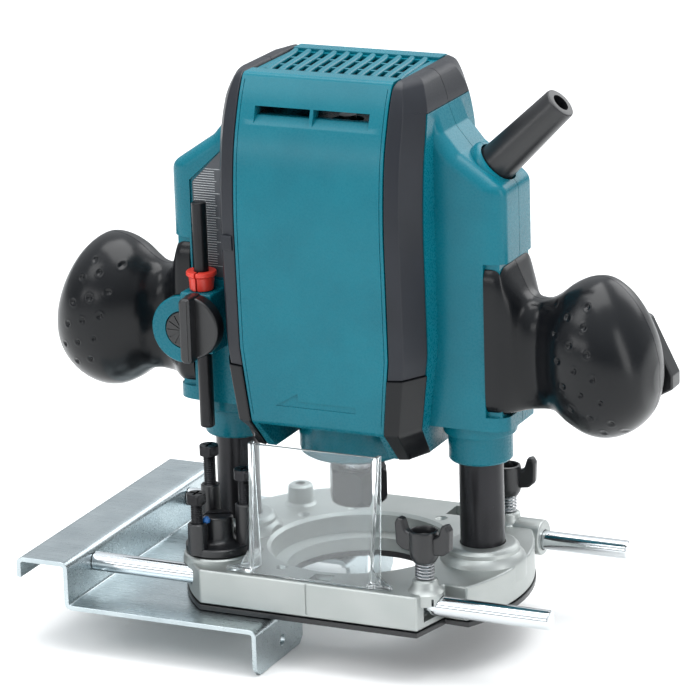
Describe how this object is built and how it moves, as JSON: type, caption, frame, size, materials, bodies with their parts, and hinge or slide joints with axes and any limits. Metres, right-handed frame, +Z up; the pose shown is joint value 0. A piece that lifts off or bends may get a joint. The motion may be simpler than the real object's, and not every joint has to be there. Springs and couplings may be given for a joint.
{
  "type": "trim router",
  "caption": "Compact plunge router: motor housing with two side grips sliding on two columns over a round-ended base, with a turret depth stop and a rod-mounted straight guide.",
  "frame": {"origin": "on the spindle axis, level with the lowest edge of the straight guide fence, 20 mm below the sole of the base", "axes": "+X along the two grips and the guide rods, +Y from the depth-scale side to the back, +Z up the plunge columns"},
  "size_m": [0.2614, 0.134, 0.237],
  "materials": {
    "teal_plastic": "fine textured moulded ABS, satin",
    "charcoal_plastic": "satin charcoal elastomer overmould",
    "black_rubber": "smooth soft rubber with a dull shine",
    "black_plastic": "moulded glass-filled nylon, satin",
    "cast_aluminium": "die-cast, bead-blasted satin",
    "zinc_plated_steel": "bright zinc-plated sheet",
    "chromed_steel": "ground and chromed bar",
    "ground_steel": "ground bright steel",
    "blackened_steel": "black-oxide steel",
    "clear_polycarbonate": "clear moulded polycarbonate",
    "red_plastic": "moulded red acetal",
    "enamelled_copper": "enamelled copper",
    "laminated_iron": "stacked electrical steel",
    "printed_scale": "dark plate with printed white ticks",
    "white_nylon": "natural nylon",
    "carbon": "pressed carbon"
  },
  "bodies": {
    "base": {"base_casting": "cast_aluminium", "sub_base": "black_plastic", "sole_screw_1": "ground_steel", "sole_screw_2": "ground_steel", "column_left": "blackened_steel", "column_right": "blackened_steel", "chip_deflector": "clear_polycarbonate", "plunge_spring_left": "ground_steel", "plunge_spring_right": "ground_steel", "clamp_spring_front": "ground_steel", "clamp_spring_rear": "ground_steel"},
    "turret": {"turret": "black_plastic"},
    "tall_stop": {"stop_screw_tall": "blackened_steel"},
    "middle_stop": {"stop_screw_middle": "blackened_steel"},
    "short_stop": {"stop_screw_short": "blackened_steel"},
    "front_clamp": {"wing_bolt_front": "black_plastic"},
    "rear_clamp": {"wing_bolt_rear": "black_plastic"},
    "straight_guide": {"guide_plate": "zinc_plated_steel", "guide_rod_front": "chromed_steel", "guide_rod_rear": "chromed_steel"},
    "motor_unit": {"housing_front": "teal_plastic", "housing_rear": "teal_plastic", "top_grille": "teal_plastic", "corner_strip_front_left": "charcoal_plastic", "corner_strip_front_right": "charcoal_plastic", "corner_strip_rear_left": "charcoal_plastic", "corner_strip_rear_right": "charcoal_plastic", "corner_pad_front_left": "black_rubber", "corner_pad_front_right": "black_rubber", "corner_pad_rear_left": "black_rubber", "corner_pad_rear_right": "black_rubber", "grip_front_left": "black_rubber", "grip_front_right": "black_rubber", "grip_rear_left": "black_plastic", "grip_rear_right": "black_plastic", "depth_scale": "printed_scale", "column_bush_left": "white_nylon", "column_bush_right": "white_nylon", "cord_guard": "black_plastic", "stator_core": "laminated_iron", "field_coil_left": "enamelled_copper", "field_coil_right": "enamelled_copper", "brush_holder_left": "ground_steel", "brush_holder_right": "ground_steel", "carbon_brush_left": "carbon", "carbon_brush_right": "carbon", "lower_bearing": "ground_steel", "upper_bearing": "ground_steel"},
    "spindle": {"armature_shaft": "ground_steel", "armature_core": "laminated_iron", "commutator": "enamelled_copper", "cooling_fan": "white_nylon", "collet_nut": "blackened_steel", "collet_cone": "ground_steel"},
    "stopper_pole": {"stopper_pole": "blackened_steel"},
    "depth_pointer": {"depth_pointer": "red_plastic"},
    "pole_clamp_knob": {"pole_clamp_knob": "black_plastic"},
    "switch_trigger": {"switch_trigger": "black_plastic"},
    "lock_on_button": {"lock_on_button": "black_plastic"},
    "plunge_lock_lever": {"plunge_lock_lever": "black_plastic"}
  },
  "joints": [
    {"name": "plunge", "type": "slide", "parent": "base", "child": "motor_unit", "axis": [0, 0, 1], "range_m": [-0.035, 0], "stiffness_N_per_m": 1000, "springref_m": 0.035, "deforming": ["plunge_spring_left", "plunge_spring_right"]},
    {"name": "spindle_spin", "type": "hinge", "parent": "motor_unit", "child": "spindle", "pos_m": [0, 0, 0.08], "axis": [0, 0, 1], "continuous": true},
    {"name": "pole_slide", "type": "slide", "parent": "motor_unit", "child": "stopper_pole", "axis": [0, 0, 1], "range_m": [0, 0.035]},
    {"name": "pointer_slide", "type": "slide", "parent": "stopper_pole", "child": "depth_pointer", "axis": [0, 0, 1], "range_m": [0, 0.027]},
    {"name": "pole_knob_turn", "type": "hinge", "parent": "motor_unit", "child": "pole_clamp_knob", "pos_m": [-0.056, -0.0299, 0.1325], "axis": [0, 1, 0], "range_deg": [-90, 90]},
    {"name": "trigger_pull", "type": "hinge", "parent": "motor_unit", "child": "switch_trigger", "pos_m": [0.113, 0.015, 0.139], "axis": [1, 0, 0], "range_deg": [-5, 0], "stiffness_Nm_per_rad": 0.6, "springref_deg": 8.59},
    {"name": "lock_button_press", "type": "slide", "parent": "motor_unit", "child": "lock_on_button", "axis": [0, 1, 0], "range_m": [-0.002, 0], "stiffness_N_per_m": 400, "springref_m": 0.002},
    {"name": "lock_lever_turn", "type": "hinge", "parent": "motor_unit", "child": "plunge_lock_lever", "pos_m": [-0.0595, 0.017, 0.132], "axis": [0, 1, 0], "range_deg": [0, 45]},
    {"name": "turret_turn", "type": "hinge", "parent": "base", "child": "turret", "pos_m": [-0.0488, -0.0324, 0.04], "axis": [0, 0, 1], "range_deg": [-120, 120]},
    {"name": "tall_stop_screw", "type": "slide", "parent": "turret", "child": "tall_stop", "axis": [0, 0, 1], "range_m": [-0.004, 0]},
    {"name": "middle_stop_screw", "type": "slide", "parent": "turret", "child": "middle_stop", "axis": [0, 0, 1], "range_m": [-0.002, 0.004]},
    {"name": "short_stop_screw", "type": "slide", "parent": "turret", "child": "short_stop", "axis": [0, 0, 1], "range_m": [-0.002, 0.004]},
    {"name": "front_clamp_turn", "type": "hinge", "parent": "base", "child": "front_clamp", "pos_m": [0.0474, -0.0428, 0.05], "axis": [0, 0, 1], "range_deg": [0, 90]},
    {"name": "rear_clamp_turn", "type": "hinge", "parent": "base", "child": "rear_clamp", "pos_m": [0.0474, 0.0428, 0.05], "axis": [0, 0, 1], "range_deg": [-90, 0]},
    {"name": "guide_slide", "type": "slide", "parent": "base", "child": "straight_guide", "axis": [1, 0, 0], "range_m": [-0.08, 0.028]}
  ],
  "couplings": [
    {"joint": "pole_slide", "follows": "plunge", "ratio": -1}
  ]
}
